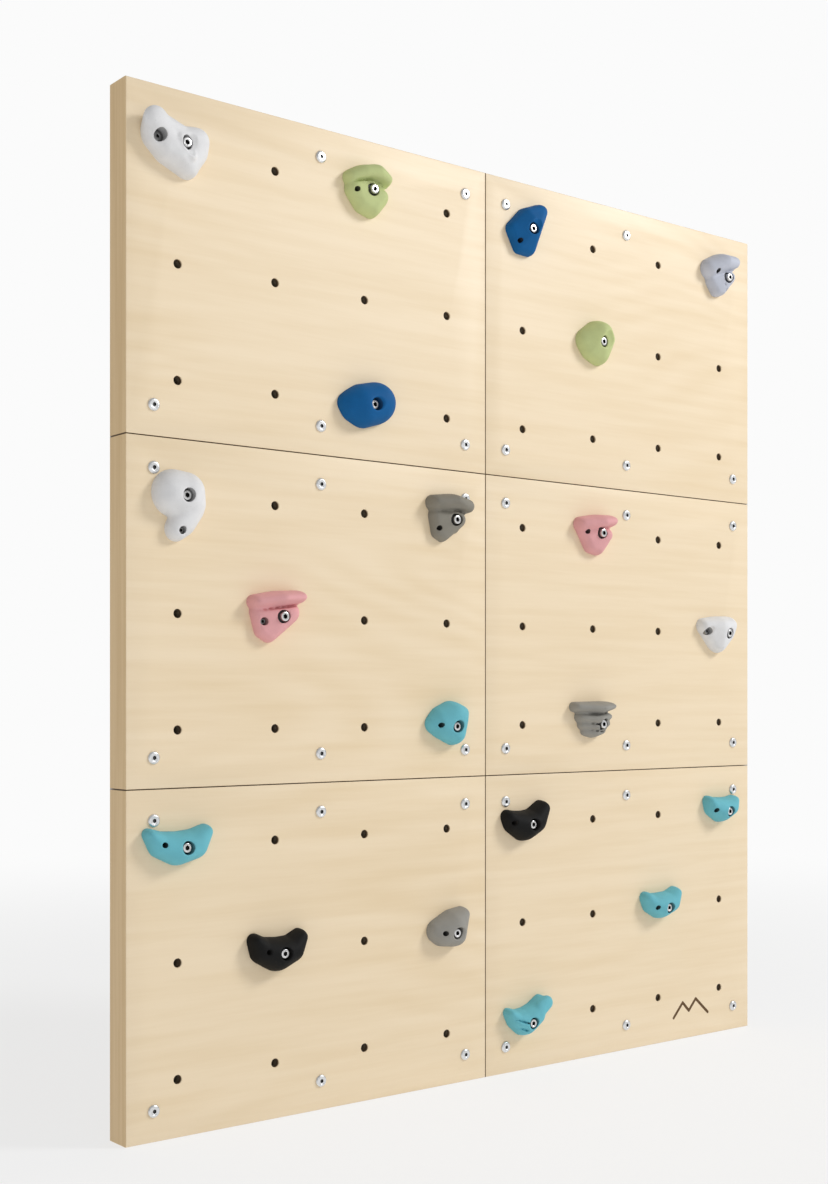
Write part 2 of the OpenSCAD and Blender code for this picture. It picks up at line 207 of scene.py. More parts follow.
def turned(outline, steps=48):
    """A piece turned about Y from (radius, distance out) points. An outline that starts
    and ends on the axis is solid, and one that comes back to its start is a ring."""
    mesh = bpy.data.meshes.new("turned")
    points = [(radius, -out, 0) for radius, out in outline]
    mesh.from_pydata(points, [(i, i + 1) for i in range(len(points) - 1)], [])
    piece = bpy.data.objects.new("turned", mesh)
    bpy.context.collection.objects.link(piece)
    activate(piece)
    bpy.ops.object.mode_set(mode="EDIT")
    bpy.ops.mesh.select_all(action="SELECT")
    bpy.ops.mesh.spin(steps=steps, angle=math.tau, center=(0, 0, 0), axis=(0, 1, 0))
    bpy.ops.mesh.select_all(action="SELECT")
    bpy.ops.mesh.remove_doubles(threshold=0.001)
    bpy.ops.mesh.normals_make_consistent(inside=False)
    bpy.ops.object.mode_set(mode="OBJECT")
    return piece


def prism(sides, radius, low, high):
    """A bar with flat sides between two distances out."""
    bpy.ops.mesh.primitive_cylinder_add(
        vertices=sides,
        radius=radius,
        depth=high - low,
        location=(0, -(low + high) / 2, 0),
        rotation=(math.pi / 2, 0, 0),
    )
    return apply_place(bpy.context.object)


def modify(piece, kind, **settings):
    """Adds a modifier with these settings and applies it."""
    activate(piece)
    modifier = piece.modifiers.new(kind, kind)
    for name, value in settings.items():
        setattr(modifier, name, value)
    bpy.ops.object.modifier_apply(modifier=modifier.name)


def carve(piece, tool, operation="DIFFERENCE"):
    """Cuts the tool out of the piece, and puts the tool away."""
    modify(piece, "BOOLEAN", operation=operation, object=tool, solver="MANIFOLD")
    bpy.data.objects.remove(tool)


def join(pieces):
    """Makes one object of several, in the first one's place."""
    bpy.ops.object.select_all(action="DESELECT")
    for piece in pieces:
        piece.select_set(True)
    bpy.context.view_layer.objects.active = pieces[0]
    if len(pieces) > 1:
        bpy.ops.object.join()
    return pieces[0]


def copy_at(piece, place):
    twin = bpy.data.objects.new(piece.name, piece.data.copy())
    bpy.context.collection.objects.link(twin)
    twin.location = place
    return twin


def repeat(piece, places):
    """Copies of a piece at every place, as one object; the pattern piece is put away."""
    group = join([copy_at(piece, place) for place in places])
    bpy.data.objects.remove(piece)
    return apply_place(group)


def hexagon_socket(across_flats, depth, top):
    return prism(6, across_flats / math.sqrt(3), top - depth, top + 1)


def thread(radius, depth, pitch, start, end):
    """Outline points of a thread from one distance out to another, further in."""
    turns = int((start - end) / pitch)
    points = []
    for turn in range(turns):
        crest = start - turn * pitch
        points += [(radius, crest - 0.12 * pitch), (radius - depth, crest - 0.62 * pitch)]
    return points


def finish(piece, name, slot, nodes, place=(0, 0, 0), smooth=30, material=None):
    """Sets a finished piece in the wall, with its shading, its material and its body."""
    piece.name = piece.data.name = name
    piece.scale = (MM, MM, MM)
    piece.location = place
    apply_place(piece)
    bpy.ops.object.shade_smooth_by_angle(angle=math.radians(smooth))
    piece.data.materials.clear()
    piece.data.materials.append(material or material_of(slot))
    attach(piece, BODY_OF[nodes[0]] if nodes else "root")
    if nodes:
        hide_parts(*nodes)
    return piece


def fit_to_panels(pattern, name, slot, node):
    """Sets a copy of the pattern in every panel, and puts the pattern away."""
    for panel in PANELS:
        piece = copy_at(pattern, (0, 0, 0))
        finish(piece, f"{name}_{panel}", slot, [f"{node}_{panel}"], panel_corner(panel))
    bpy.data.objects.remove(pattern)


# ---- Places ----


def panel_corner(panel):
    """The module's lower left corner on the board's front face, in metres."""
    low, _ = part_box(f"edge_boards_{panel}")
    return Vector((low.x - CLEAR * MM, -DEPTH * MM, low.z - CLEAR * MM))


def insert_places():
    """The twelve inserts of a panel, in millimetres from its corner."""
    sizes = bpy.context.scene.wall_sizes
    margin, pitch = mm(sizes.insert_margin), mm(sizes.insert_pitch)
    across = round((PANEL_W - 2 * margin) / pitch) + 1
    up = round((PANEL_H - 2 * margin) / pitch) + 1
    return [
        Vector((margin + column * pitch, 0, margin + row * pitch))
        for row in range(up)
        for column in range(across)
    ]


def fixing_places():
    """The six fixing bolts of a panel, in millimetres from its corner."""
    inset = mm(bpy.context.scene.wall_sizes.fixing_inset)
    return [
        Vector((x, 0, z))
        for x in (inset, PANEL_W / 2, PANEL_W - inset)
        for z in (inset, PANEL_H - inset)
    ]


def hold_place(hold):
    """The insert that a hold is bolted to, on the front face, in metres."""
    sizes = bpy.context.scene.wall_sizes
    panel, column, row = hold["at"]
    margin, pitch = sizes.insert_margin, sizes.insert_pitch
    top = PANEL_H * MM - margin
    return panel_corner(panel) + Vector((margin + column * pitch, 0, top - row * pitch))


# ---- Shader building ----


class Value:
    """One number of a shader. Arithmetic with it adds Math nodes."""

    def __init__(self, tree, socket):
        self.tree = tree
        self.socket = socket

    def math(self, operation, *operands):
        node = self.tree.nodes.new("ShaderNodeMath")
        node.operation = operation
        for socket, operand in zip(node.inputs, operands):
            if isinstance(operand, Value):
                self.tree.links.new(operand.socket, socket)
            else:
                socket.default_value = operand
        return Value(self.tree, node.outputs[0])

    def __add__(self, other):
        return self.math("ADD", self, other)

    def __radd__(self, other):
        return self.math("ADD", other, self)

    def __sub__(self, other):
        return self.math("SUBTRACT", self, other)

    def __rsub__(self, other):
        return self.math("SUBTRACT", other, self)

    def __mul__(self, other):
        return self.math("MULTIPLY", self, other)

    def __rmul__(self, other):
        return self.math("MULTIPLY", other, self)

    def __truediv__(self, other):
        return self.math("DIVIDE", self, other)

    def __pow__(self, other):
        return self.math("POWER", self, other)

    def floor(self):
        return self.math("FLOOR", self)

    def sine(self):
        return self.math("SINE", self)

    def distance_to(self, place):
        return self.math("ABSOLUTE", self - place)

    def smaller(self, other):
        return self.math("MINIMUM", self, other)


class Finish:
    """A node material on the piece's own coordinates, in metres."""

    def __init__(self, name):
        self.material = bpy.data.materials.new(f"{name}_finish")
        self.material.use_nodes = True
        self.tree = self.material.node_tree
        self.surface = self.tree.nodes["Principled BSDF"]
        point = self.node("ShaderNodeTexCoord", output="Object")
        self.point = point
        self.x = self.node("ShaderNodeSeparateXYZ", sockets={"Vector": point}, output="X")
        parts = self.x.socket.node
        self.y = Value(self.tree, parts.outputs["Y"])
        self.z = Value(self.tree, parts.outputs["Z"])

    def node(self, kind, settings=None, sockets=None, output=0):
        """Adds a node, sets it, and then gives its sockets their values or links."""
        node = self.tree.nodes.new(kind)
        for name, value in (settings or {}).items():
            setattr(node, name, value)
        for key, value in (sockets or {}).items():
            socket = next(s for s in node.inputs if key in (s.identifier, s.name))
            self.feed(socket, value)
        return Value(self.tree, node.outputs[output])

    def feed(self, socket, value):
        if isinstance(value, Value):
            self.tree.links.new(value.socket, socket)
        elif hasattr(value, "__len__") and socket.type == "RGBA":
            socket.default_value = (*value[:3], 1)
        else:
            socket.default_value = value

    def set(self, **sockets):
        """Feeds the shader's own sockets; an underscore stands for a space."""
        for name, value in sockets.items():
            self.feed(self.surface.inputs[name.replace("_", " ")], value)

    def vector(self, x, y, z):
        return self.node("ShaderNodeCombineXYZ", sockets={"X": x, "Y": y, "Z": z})

    def noise(self, vector, scale=1.0, detail=2.0, roughness=0.5, seed=0.0):
        settings = {"noise_dimensions": "4D"}
        sockets = {
            "Vector": vector,
            "W": seed,
            "Scale": scale,
            "Detail": detail,
            "Roughness": roughness,
        }
        return self.node("ShaderNodeTexNoise", settings, sockets)

    def grain(self, x, y, z, detail, roughness, seed):
        """Noise with its own fineness along each axis, in cells to the metre."""
        point = self.vector(self.x * x, self.y * y, self.z * z)
        return self.noise(point, 1.0, detail, roughness, seed)

    def mix(self, factor, first, second):
        sockets = {"Factor_Float": factor, "A_Color": first, "B_Color": second}
        return self.node("ShaderNodeMix", {"data_type": "RGBA"}, sockets, 2)

    def spread(self, value, low, high):
        """Stretches low to high over 0 to 1, and keeps it there."""
        sockets = {"Value": value, "From Min": low, "From Max": high}
        return self.node("ShaderNodeMapRange", {"interpolation_type": "SMOOTHSTEP"}, sockets)

    def painted_shade(self):
        """The painted shade that each face was given, from 0 to 1."""
        return self.node("ShaderNodeAttribute", {"attribute_name": PAINTED_SHADE}, output="Fac")

    def bump(self, height, distance, strength=1.0):
        sockets = {"Height": height, "Distance": distance, "Strength": strength}
        return self.node("ShaderNodeBump", None, sockets)


# Painted shade, kept as a face attribute: how dark it makes hex sockets, bolt recesses, and anti-turn
# recesses with and without a screw, standing for the shade deep in each
PAINTED_SHADE = "painted_shade"
SOCKET_SHADE = 0.92
RECESS_SHADE = 0.5
SCREWED_HOLE_SHADE = 0.55
EMPTY_HOLE_SHADE = 0.9


def paint_shade(piece, amount, chosen):
    """Paints shade on the faces whose middle passes the test: a darkening that stands for the shade deep in
    a hollow.
    """
    mesh = piece.data
    layer = mesh.attributes.get(PAINTED_SHADE) or mesh.attributes.new(PAINTED_SHADE, "FLOAT", "FACE")
    for face in mesh.polygons:
        if chosen(face.center):
            layer.data[face.index].value = amount


def within(radius, low, high, place=(0, 0)):
    """A test for faces near an axis out of the board, between two distances out."""

    def chosen(middle):
        reach = math.hypot(middle.x - place[0], middle.z - place[1])
        return reach < radius and low < -middle.y < high

    return chosen


def linear(tint):
    """A screen colour as the light that it stands for."""
    return [c / 12.92 if c <= 0.04045 else ((c + 0.055) / 1.055) ** 2.4 for c in tint]


def shade(tint, factor):
    return [min(1.0, c * factor) for c in tint]


# ---- Finishes ----

MAKERS = {}
MADE = {}


def finish_for(*slots):
    """Registers a function as the maker of these slots' materials."""

    def register_maker(maker):
        for slot in slots:
            MAKERS[slot] = maker
        return maker

    return register_maker


def material_of(slot):
    """The material of a slot, made when it is first asked for."""
    if slot not in MADE:
        MADE[slot] = MAKERS[slot](slot)
    return MADE[slot]


@finish_for("birch_face")
def birch_face(slot):
    """Rotary-cut birch veneer under a satin lacquer, with its grain along X. Every
    panel has its own figure, and the walls of the drilled holes are darkened with painted shade."""
    colours = bpy.context.scene.wall_colours
    skin = Finish(slot)
    column = (skin.x / (PANEL_W * MM)).floor()
    row = (skin.z / (PANEL_H * MM)).floor()
    seed = column * 3.7 + row * 1.9
    sway = skin.grain(1.6, 0, 3.0, 2, 0.5, seed)
    bent = skin.vector(skin.x * 0.9, 0.0, skin.z * 4.2 + sway * 0.9)
    height = skin.noise(bent, 1.0, 1, 0.4, seed + 5)
    rings = (height * 120).sine() * 0.5 + 0.5
    broad = skin.grain(1.3, 0, 2.2, 1, 0.5, seed + 9)
    patch = skin.spread(broad, 0.42, 0.68)
    streak = skin.grain(3.5, 40, 60, 3, 0.6, seed)
    fibre = skin.grain(22, 300, 900, 2, 0.6, seed)
    speck = skin.grain(90, 0, 1300, 1, 0.5, seed)
    fleck = skin.spread(speck, 0.70, 0.80)
    tone = rings * patch * 0.22 + skin.spread(streak, 0.3, 0.75) * 0.42 + fibre * 0.16 + fleck * 0.22
    veneer = skin.mix(tone, linear(colours.birch), linear(colours.birch_figure))
    front = -DEPTH * MM
    # Painted shade: the walls of the drilled holes are darkened, from just below the countersink to short
    # of the back
    wood_shade = skin.spread(skin.y, front + 0.0006, front + 0.003)
    wood_shade = wood_shade * (1 - skin.spread(skin.y, front + (BOARD_T - 1) * MM, front + (BOARD_T - 0.2) * MM))
    skin.set(
        Base_Color=skin.mix(wood_shade * 0.92, veneer, linear(colours.wood_shade)),
        Roughness=fibre * 0.12 + streak * 0.10 + 0.40,
        Normal=skin.bump(fibre * 0.6 + fleck * -0.8 + streak * 0.2, 0.00012, 0.6),
        Coat_Weight=0.12,
        Coat_Roughness=0.35,
    )
    return skin.material


@finish_for("birch_edge")
def birch_edge(slot):
    """The same veneer on the edge boards, with its grain along each board, and painted
    shade in the joints between panels."""
    colours = bpy.context.scene.wall_colours
    skin = Finish(slot)
    streak = skin.grain(3, 130, 3, 3, 0.6, 2.0)
    fibre = skin.grain(20, 1100, 20, 2, 0.6, 4.0)
    patch = skin.grain(2, 10, 2, 2, 0.5, 7.0)
    tone = skin.spread(streak, 0.3, 0.75) * 0.55 + fibre * 0.25 + patch * 0.2
    # Part of this veneer's darkness is painted shade of the sides
    veneer = skin.mix(tone, linear(colours.edge), linear(colours.edge_figure))
    # Painted shade along the joints between panels, at X = 0 and at each row's seam
    joint = skin.x.distance_to(0.0)
    for row in range(1, len(ROWS)):
        joint = joint.smaller(skin.z.distance_to(row * PANEL_H * MM))
    shadow = 1 - skin.spread(joint, 0.0008, 0.0013)
    skin.set(
        Base_Color=skin.mix(shadow * 0.9, veneer, linear(colours.wood_shade)),
        Roughness=fibre * 0.15 + 0.45,
        Normal=skin.bump(fibre * 0.7 + streak * 0.3, 0.00015, 0.6),
        Coat_Weight=0.08,
        Coat_Roughness=0.4,
    )
    return skin.material


@finish_for("pine_rail")
def pine_rail(slot):
    """Planed, unfinished pine with dark late wood along X."""
    colours = bpy.context.scene.wall_colours
    skin = Finish(slot)
    sway = skin.grain(2.2, 14, 14, 2, 0.5, 1.0)
    rings = ((skin.z * 900 + skin.y * 500 + sway * 26).sine() * 0.5 + 0.5) ** 3.0
    fibre = skin.grain(30, 900, 900, 2, 0.6, 3.0)
    tone = rings * 0.6 + fibre * 0.35
    skin.set(
        Base_Color=skin.mix(tone, linear(colours.pine), linear(colours.pine_figure)),
        Roughness=fibre * 0.2 + 0.6,
        Normal=skin.bump(rings * -0.4 + fibre * 0.6, 0.0002, 0.6),
    )
    return skin.material


def burnt_wood():
    """Scorched floor of the engraved mark."""
    tint = linear(bpy.context.scene.wall_colours.burnt)
    skin = Finish("burnt_wood")
    char = skin.grain(60, 0, 900, 3, 0.6, 1.0)
    skin.set(
        Base_Color=skin.mix(char, shade(tint, 0.7), shade(tint, 1.4)),
        Roughness=char * 0.2 + 0.65,
        Normal=skin.bump(char, 0.0003, 0.6),
    )
    return skin.material


STEELS = {
    # The inserts' yellow-brown hue is the zinc's own, and their darkness is painted shade, as they sit deep
    # in their holes
    "insert_steel": ((0.20, 0.17, 0.13), 0.50),
    "fixing_steel": ((0.80, 0.81, 0.82), 0.34),
    "bolt_steel": ((0.80, 0.80, 0.80), 0.30),
    # Near-black steel for the washers: painted shade for the dark ring round each bolt head, deep in its
    # recess
    "blackened_steel": ((0.075, 0.075, 0.078), 0.42),
    "grey_steel": ((0.30, 0.30, 0.30), 0.38),
}


@finish_for(*STEELS)
def plated_steel(slot):
    """Plated steel: a soft mottle, with fine tool marks, and painted shade in its sockets."""
    tint, roughness = STEELS[slot]
    skin = Finish(slot)
    mottle = skin.noise(skin.point, 260.0, 3, 0.6, 1.0)
    marks = skin.grain(400, 5200, 400, 2, 0.5, 2.0)
    plate = skin.mix(mottle, shade(tint, 0.82), shade(tint, 1.08))
    skin.set(
        Base_Color=skin.mix(skin.painted_shade(), plate, (0.012, 0.012, 0.012)),
        Metallic=1.0,
        Roughness=mottle * 0.16 + marks * 0.10 + (roughness - 0.12),
        Normal=skin.bump(marks * 0.6 + mottle * 0.4, 0.00004, 0.5),
    )
    return skin.material


RESIN_SLOTS = (
    "hold_white",
    "hold_green",
    "hold_blue",
    "hold_light_grey",
    "hold_pink",
    "hold_dark_grey",
    "hold_grey",
    "hold_teal",
    "hold_black",
)


@finish_for(*RESIN_SLOTS)
def cast_resin(slot):
    """Pigmented resin cast in a sandy mould: matt grit, with faint swirls of pigment."""
    tint = linear(getattr(bpy.context.scene.wall_colours, slot))
    skin = Finish(slot)
    swirl = skin.noise(skin.point, 38.0, 3, 0.55, 1.0)
    grit = skin.noise(skin.point, 1100.0, 3, 0.65, 2.0)
    pit = skin.spread(skin.noise(skin.point, 620.0, 1, 0.5, 3.0), 0.66, 0.78)
    tone = skin.spread(swirl, 0.25, 0.75) * 0.55 + grit * 0.45
    body = skin.mix(tone, shade(tint, 0.88), shade(tint, 1.09))
    body = skin.mix(pit * 0.35, body, shade(tint, 0.62))
    skin.set(
        # Painted shade: the walls of the bolt and screw recesses are darkened toward black
        Base_Color=skin.mix(skin.painted_shade(), body, (0.014, 0.013, 0.012)),
        Roughness=grit * 0.22 + swirl * 0.10 + 0.52,
        Specular_IOR_Level=0.22,
        Normal=skin.bump(grit * 0.8 + swirl * 0.3 - pit * 0.8, 0.00022, 0.75),
    )
    return skin.material


# ---- The holds ----
# A hold's shells are lists of lobes, each the hull of its lobes. A lobe is its place
# from the bolt (X, Z), its radius, its height from the board and, where it stands
# clear of the board, how far its middle is lifted. A dish is a hollow pressed into the
# resin: its place (X, Z), the depth of resin left under it, and its radius across and up.
# A crease is a groove through points (X, Z), with its radius and the resin left under it.
# second is the anti-turn hole: its place, the radius of its recess, the depth of resin
# under it and, where it has its screw, the radius of the screw's head.


def crescent(*lobes):
    """A hold with a hollow top edge and a round belly: its lobes from left to right,
    each melted into the next."""
    return [list(link) for link in zip(lobes, lobes[1:])]


def empty_hole(x, z):
    return {"place": (x, z), "recess": 3.7, "seat": 7}


def screwed(x, z, head, seat):
    return {"place": (x, z), "recess": head + 0.9, "seat": seat, "screw": head}


HOLDS = {
    "white_saddle": {
        "slot": "hold_white",
        "at": ("top_left", 0, 0),
        "second": screwed(-38, 2, 7, 12),
        "shells": [
            [(-42, 22, 17, 12, 18), (-37, 4, 16, 24), (-20, -9, 18, 25), (-4, -14, 18, 26)],
            [(-40, 20, 14, 12, 18), (-20, 12, 14, 20), (0, 12, 14, 26)],
            [(-8, 10, 15, 27), (8, 10, 16, 27), (22, 9, 20, 27)],
            [(-20, -9, 18, 25), (-4, -14, 18, 27), (11, -23, 17, 22)],
            [(22, 9, 20, 27), (23, -4, 17, 24), (10, -23, 17, 22)],
            [(-10, 4, 13, 30), (0, -6, 14, 31), (8, -16, 12, 29)],
        ],
        "dishes": [(6, -1, 22, 14, 20)],
    },
    "green_brow": {
        "slot": "hold_green",
        "at": ("top_left", 2, 0),
        "second": empty_hole(-25, -3),
        "shells": [
            [(-28, 15, 11, 22), (-12, 21, 14, 31), (6, 24, 15, 36), (23, 18, 12, 31)],
            [(-20, 0, 16, 20), (-8, -16, 15, 20), (7, -20, 15, 22), (18, -6, 15, 25)],
        ],
        "dishes": [(1, -3, 24, 14, 10)],
        "creases": [([(-36, 4), (-22, 10), (-6, 13), (12, 12), (30, 7)], 4, 12)],
    },
    "blue_egg": {
        "slot": "hold_blue",
        "at": ("top_left", 2, 2),
        "shells": [[(-33, 1, 15, 16), (-21, -1, 24, 24), (-6, 0, 31, 33), (16, 6, 30, 34)]],
        "dishes": [(0, 0, 27, 14, 14)],
    },
    "blue_pebble": {
        "slot": "hold_blue",
        "at": ("top_right", 0, 0),
        "second": empty_hole(-18, -19),
        "shells": [
            [
                (-24, -1, 12, 16),
                (-12, -26, 10, 15),
                (8, -27, 10, 17),
                (29, 33, 13, 20),
                (0, 23, 12, 22),
                (6, 4, 15, 34),
            ]
        ],
        "dishes": [(3, 4, 25, 13, 17)],
    },
    "green_dome": {
        "slot": "hold_green",
        "at": ("top_right", 1, 1),
        "shells": [
            [(-20, 2, 19, 20), (-10, -8, 20, 22), (2, 13, 23, 36), (14, 6, 18, 30), (6, -14, 20, 24)]
        ],
        "dishes": [(7, -2, 24, 19, 20)],
    },
    "light_grey_cap": {
        "slot": "hold_light_grey",
        "at": ("top_right", 3, 0),
        "second": empty_hole(-27, 7),
        "shells": [
            [(-31, 13, 17, 24), (-9, 24, 17, 36), (14, 27, 11, 16, 16), (12, 19, 10, 20)],
            [(-24, -6, 12, 16), (-14, -20, 11, 17), (-4, -20, 9, 18), (8, 2, 14, 26)],
        ],
        "dishes": [(1, -1, 24, 12, 11), (9, -12, 15, 5, 5), (0, -20, 13, 4, 4), (-7, -12, 17, 4, 5)],
        "creases": [([(-14, 4), (-2, 11), (10, 15), (24, 18)], 3.4, 14)],
    },
    "white_pear": {
        "slot": "hold_white",
        "at": ("middle_left", 0, 0),
        "second": screwed(-2, -44, 4.25, 8),
        "shells": [
            [(-8, 4, 31, 31), (8, 6, 27, 32), (12, -8, 25, 28)],
            [(14, -14, 21, 26), (6, -34, 17, 20), (-4, -42, 16, 18)],
        ],
        "dishes": [(0, 0, 27, 13, 13), (-2, -44, 15, 8, 8)],
    },
    "pink_ledge": {
        "slot": "hold_pink",
        "at": ("middle_left", 1, 1),
        "second": screwed(-27, -7, 4.5, 7),
        "shells": [
            [(-36, 19, 10, 26), (-4, 24, 11, 38), (27, 27, 10, 34)],
            [(-32, 6, 10, 15), (-24, -18, 11, 16), (-13, -24, 11, 17), (15, 6, 17, 26)],
        ],
        "dishes": [(1, -2, 24, 13, 10)],
        "creases": [([(-46, 6), (-20, 10), (4, 13), (22, 16), (40, 16)], 3.8, 11)],
    },
    "dark_grey_ledge": {
        "slot": "hold_dark_grey",
        "at": ("middle_left", 3, 0),
        "second": empty_hole(-25, -13),
        "shells": [
            [(-29, 24, 12, 26), (-4, 27, 12, 38), (22, 21, 11, 15, 17), (16, 19, 11, 26)],
            [(-27, 6, 9, 17), (-22, -18, 9, 15), (-12, -22, 10, 16), (9, 1, 15, 27)],
            [(10, -12, 7, 13), (4, -6, 9, 18)],
        ],
        "dishes": [(1, -1, 25, 12, 12)],
        "creases": [([(-44, 12), (-20, 13), (4, 14), (30, 10)], 3.6, 12)],
    },
    "teal_egg": {
        "slot": "hold_teal",
        "at": ("middle_left", 3, 2),
        "second": empty_hole(-27, 2),
        "shells": [
            [(-28, 4, 14, 18), (-13, 6, 24, 27), (4, 11, 26, 32), (22, 19, 12, 20), (8, -10, 18, 26)]
        ],
        "dishes": [(1, 0, 26, 12, 12)],
    },
    "pink_wedge": {
        "slot": "hold_pink",
        "at": ("middle_right", 1, 0),
        "second": empty_hole(-27, 1),
        "shells": [
            [(-32, 13, 12, 24), (-4, 17, 13, 38), (22, 20, 11, 32)],
            [(-26, 5, 12, 18), (-10, -18, 13, 17), (4, -21, 13, 18), (15, -2, 14, 25)],
        ],
        "dishes": [(1, -3, 24, 13, 12)],
        "creases": [([(-8, 7), (12, 9), (32, 12)], 3.2, 14), ([(4, -14), (18, -12), (30, -4)], 2.4, 13)],
    },
    "white_triangle": {
        "slot": "hold_white",
        "at": ("middle_right", 3, 1),
        "second": screwed(-44, 3, 5.5, 8),
        "shells": [
            [
                (-45, 12, 13, 20),
                (-16, 12, 17, 30),
                (12, 14, 16, 26),
                (8, 0, 15, 24),
                (-8, -19, 14, 20),
                (-18, -16, 13, 18),
            ]
        ],
        "dishes": [(1, 0, 22, 12, 12), (-44, 4, 15, 10, 10)],
    },
    "grey_ribbed_bowl": {
        "slot": "hold_grey",
        "at": ("middle_right", 1, 2),
        "shells": [
            [(-45, 27, 8, 21), (-5, 25, 10, 38), (18, 28, 8, 34)],
            [(-34, 11, 8, 17), (-6, 8, 11, 32), (17, 12, 8, 25)],
            [(-29, -1, 7, 13), (-8, -3, 10, 25), (13, 1, 9, 24)],
            [(-22, -11, 7, 10), (-6, -13, 9, 18), (8, -8, 10, 20)],
        ],
        "dishes": [(2, 1, 25, 11, 11)],
        "creases": [
            ([(-48, 17), (-22, 15.5), (2, 16), (26, 19)], 2.8, 11),
            ([(-40, 4), (-22, 2), (-10, 0)], 2.4, 8),
            ([(-34, -6), (-16, -9), (4, -12), (18, -9)], 2.4, 6),
        ],
    },
    "teal_crescent_left": {
        "slot": "hold_teal",
        "at": ("bottom_left", 0, 0),
        "second": empty_hole(-31, 5),
        "shells": crescent(
            (-45, 18, 8, 21), (-28, 4, 17, 24), (-4, -2, 22, 31), (19, 2, 20, 29), (37, 18, 10, 21)
        ),
        "dishes": [(0, -1, 27, 12, 12)],
    },
    "black_crescent_left": {
        "slot": "hold_black",
        "at": ("bottom_left", 1, 1),
        "second": empty_hole(-25, 4),
        "shells": crescent(
            (-36, 18, 10, 21), (-24, 4, 18, 25), (-1, -3, 23, 31), (20, 2, 19, 29), (35, 18, 11, 22)
        ),
        "dishes": [(0, -1, 27, 12, 12)],
    },
    "grey_teardrop": {
        "slot": "hold_grey",
        "at": ("bottom_left", 3, 1),
        "second": empty_hole(-21, 1),
        "shells": [
            [(-22, 3, 17, 21), (-10, 2, 23, 28), (4, 10, 22, 33), (24, 25, 10, 21), (8, -5, 18, 28)]
        ],
        "dishes": [(4, -4, 24, 16, 13)],
    },
    "black_crescent_right": {
        "slot": "hold_black",
        "at": ("bottom_right", 0, 0),
        "second": empty_hole(-34, 4),
        "shells": crescent(
            (-35, 12, 11, 20), (-25, 4, 17, 25), (-3, -3, 23, 31), (15, 3, 20, 30), (32, 23, 12, 24)
        ),
        "dishes": [(0, -1, 27, 12, 12)],
    },
    "teal_crescent_edge": {
        "slot": "hold_teal",
        "at": ("bottom_right", 3, 0),
        "second": empty_hole(-29, 3),
        "shells": crescent(
            (-34, 18, 9, 21), (-24, 8, 16, 24), (-4, 2, 21, 30), (14, 6, 17, 28), (29, 18, 8, 19)
        ),
        "dishes": [(0, -1, 26, 12, 12)],
    },
    "teal_crescent_low": {
        "slot": "hold_teal",
        "at": ("bottom_right", 2, 1),
        "second": empty_hole(-25, 2),
        "shells": crescent(
            (-35, 17, 10, 21), (-24, 7, 16, 25), (-4, 2, 21, 31), (16, 6, 18, 29), (32, 21, 10, 21)
        ),
        "dishes": [(0, -1, 27, 12, 12)],
    },
    "teal_ribbed_crescent": {
        "slot": "hold_teal",
        "at": ("bottom_right", 0, 2),
        "shells": crescent(
            (-34, 17, 7, 21), (-21, 6, 14, 23), (-3, 0, 21, 29), (15, 9, 18, 28), (30, 28, 9.5, 21)
        ) + [[(22, 18, 12, 9, 16), (35, 26, 11, 9, 15)]],
        "dishes": [(1, -1, 27, 12, 12)],
        "creases": [
            ([(-42, 10), (-26, 7), (-10, 1)], 2.6, 12),
            ([(-38, 0), (-22, -5), (-8, -11)], 2.6, 10),
            ([(-30, -9), (-16, -14), (-4, -19)], 2.4, 7),
        ],
    },
}


# In millimetres: where the tools end, clear of every hold, and what a rough recess leaves
# of its wall and its floor for the last drill
TOOL_TOP = 80
ROUGH_WALL = 0.3
ROUGH_FLOOR = 2


def egg(x, z, out, across, deep, up):
    """An ellipsoid a distance out from the board."""
    bpy.ops.mesh.primitive_uv_sphere_add(
        segments=32, ring_count=16, radius=1, location=(x, -out, z), scale=(across, deep, up)
    )
    return apply_place(bpy.context.object)


def hull(pieces):
    """One convex skin round all the pieces."""
    piece = join(pieces)
    bpy.ops.object.mode_set(mode="EDIT")
    bpy.ops.mesh.select_all(action="SELECT")
    bpy.ops.mesh.convex_hull()
    bpy.ops.object.mode_set(mode="OBJECT")
    return piece


def lobe(x, z, radius, height, lift=0):
    return egg(x, z, lift, radius, height, radius)


def crease_tool(points, radius, left_under):
    """Links of a groove through the points, deep enough to leave this much resin."""
    depth = 60
    out = left_under + depth
    links = []
    for start, end in zip(points, points[1:]):
        links.append(hull([egg(x, z, out, radius, depth, radius) for x, z in (start, end)]))
    return links


def drill(bore, recess, seat, steps=48):
    """A stepped drill from behind the hold to well clear of its front."""
    outline = [(0, -5), (bore, -5), (bore, seat), (recess, seat), (recess, TOOL_TOP), (0, TOOL_TOP)]
    return turned(outline, steps)


def rough_recess(sides, radius, seat, x=0, z=0):
    """A recess a little tighter and shallower than the drill will leave it."""
    return put(prism(sides, radius - ROUGH_WALL, seat + ROUGH_FLOOR, TOOL_TOP), (x, 0, z))


def pressed_tools(hold, recess, seat):
    """All that is hollowed out of a hold before it is melted again."""
    reach = 30
    tools = [rough_recess(48, recess, seat)]
    for x, z, left_under, across, up in hold.get("dishes", ()):
        tools.append(egg(x, z, left_under + reach / 2, across, reach / 2, up))
    for points, radius, left_under in hold.get("creases", ()):
        tools += crease_tool(points, radius, left_under)
    if "second" in hold:
        second = hold["second"]
        tools.append(rough_recess(32, second["recess"], second["seat"], *second["place"]))
    return tools


def melt(piece, grain, passes):
    """Melts overlapping shells into one skin, and softens its edges."""
    modify(piece, "REMESH", mode="VOXEL", voxel_size=grain)
    modify(piece, "SMOOTH", factor=0.5, iterations=passes)


